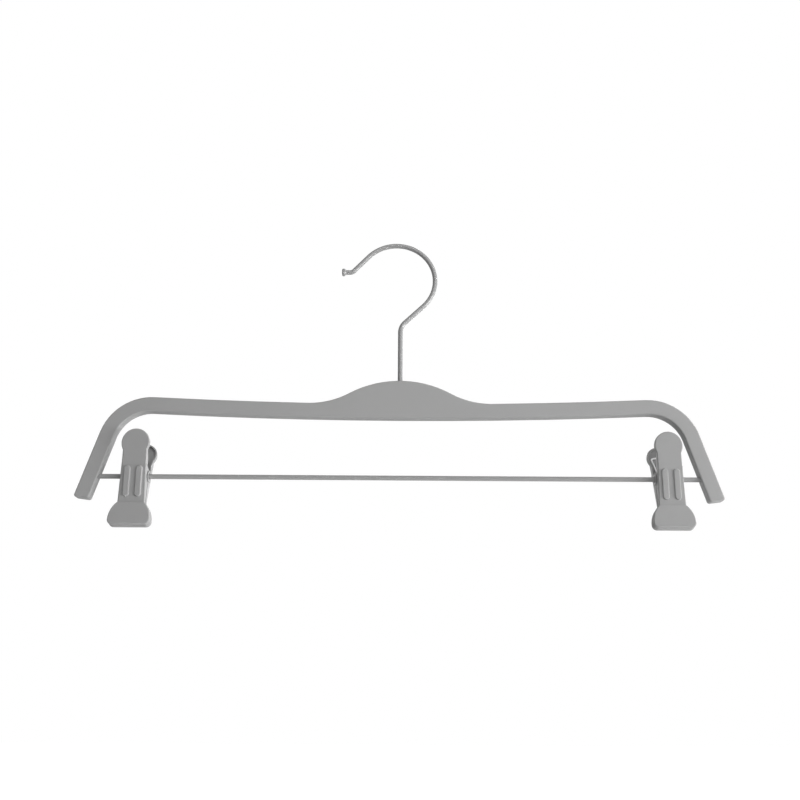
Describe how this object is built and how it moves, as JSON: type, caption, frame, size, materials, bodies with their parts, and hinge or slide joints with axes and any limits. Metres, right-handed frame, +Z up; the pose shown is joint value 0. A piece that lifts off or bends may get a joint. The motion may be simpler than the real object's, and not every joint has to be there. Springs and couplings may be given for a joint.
{
  "type": "skirt hanger",
  "caption": "Flat hanger board with two arms and leaning legs, a bar across the legs, a turning wire hook, and sprung clips that slide and swing on the bar.",
  "frame": {"origin": "where a rail touches the underside of the hook's crook", "axes": "+X along the bar to the right, +Y from the front to the back, +Z up"},
  "size_m": [0.3992, 0.0266, 0.1934],
  "materials": {
    "board_paint": "satin painted laminated wood",
    "bar_steel": "satin",
    "hook_steel": "satin",
    "pin_steel": "satin",
    "tube_steel": "satin",
    "lever_paint": "satin",
    "spring_steel": "bright drawn wire",
    "jaw_cap": "matte soft vinyl"
  },
  "bodies": {
    "frame": {"frame_board": "board_paint", "clip_bar": "bar_steel", "hook_retaining_pin": "pin_steel"},
    "hook": {"hook": "hook_steel"},
    "left_slider": {"left_hinge_tube": "tube_steel"},
    "left_front_half": {"left_front_lever": "lever_paint", "left_spring": "spring_steel", "left_front_jaw_cap": "jaw_cap"},
    "left_rear_half": {"left_rear_lever": "lever_paint", "left_rear_jaw_cap": "jaw_cap"},
    "right_slider": {"right_hinge_tube": "tube_steel"},
    "right_front_half": {"right_front_lever": "lever_paint", "right_spring": "spring_steel", "right_front_jaw_cap": "jaw_cap"},
    "right_rear_half": {"right_rear_lever": "lever_paint", "right_rear_jaw_cap": "jaw_cap"}
  },
  "joints": [
    {"name": "hook_swivel", "type": "hinge", "parent": "frame", "child": "hook", "pos_m": [0, 0, -0.1], "axis": [0, 0, 1], "continuous": true},
    {"name": "left_clip_slide", "type": "slide", "parent": "frame", "child": "left_slider", "axis": [1, 0, 0], "range_m": [-0.0055, 0.1495]},
    {"name": "left_clip_swing", "type": "hinge", "parent": "left_slider", "child": "left_front_half", "pos_m": [-0.1635, 0, -0.158], "axis": [1, 0, 0], "range_deg": [-80, 100]},
    {"name": "left_clip_open", "type": "hinge", "parent": "left_front_half", "child": "left_rear_half", "pos_m": [-0.1635, 0, -0.158], "axis": [1, 0, 0], "range_deg": [0, 34], "stiffness_Nm_per_rad": 0.08, "springref_deg": -51.57, "deforming": ["left_spring"]},
    {"name": "right_clip_slide", "type": "slide", "parent": "frame", "child": "right_slider", "axis": [1, 0, 0], "range_m": [-0.1524, 0.0026]},
    {"name": "right_clip_swing", "type": "hinge", "parent": "right_slider", "child": "right_front_half", "pos_m": [0.1664, 0, -0.158], "axis": [1, 0, 0], "range_deg": [-80, 100]},
    {"name": "right_clip_open", "type": "hinge", "parent": "right_front_half", "child": "right_rear_half", "pos_m": [0.1664, 0, -0.158], "axis": [1, 0, 0], "range_deg": [0, 34], "stiffness_Nm_per_rad": 0.08, "springref_deg": -51.57, "deforming": ["right_spring"]}
  ]
}
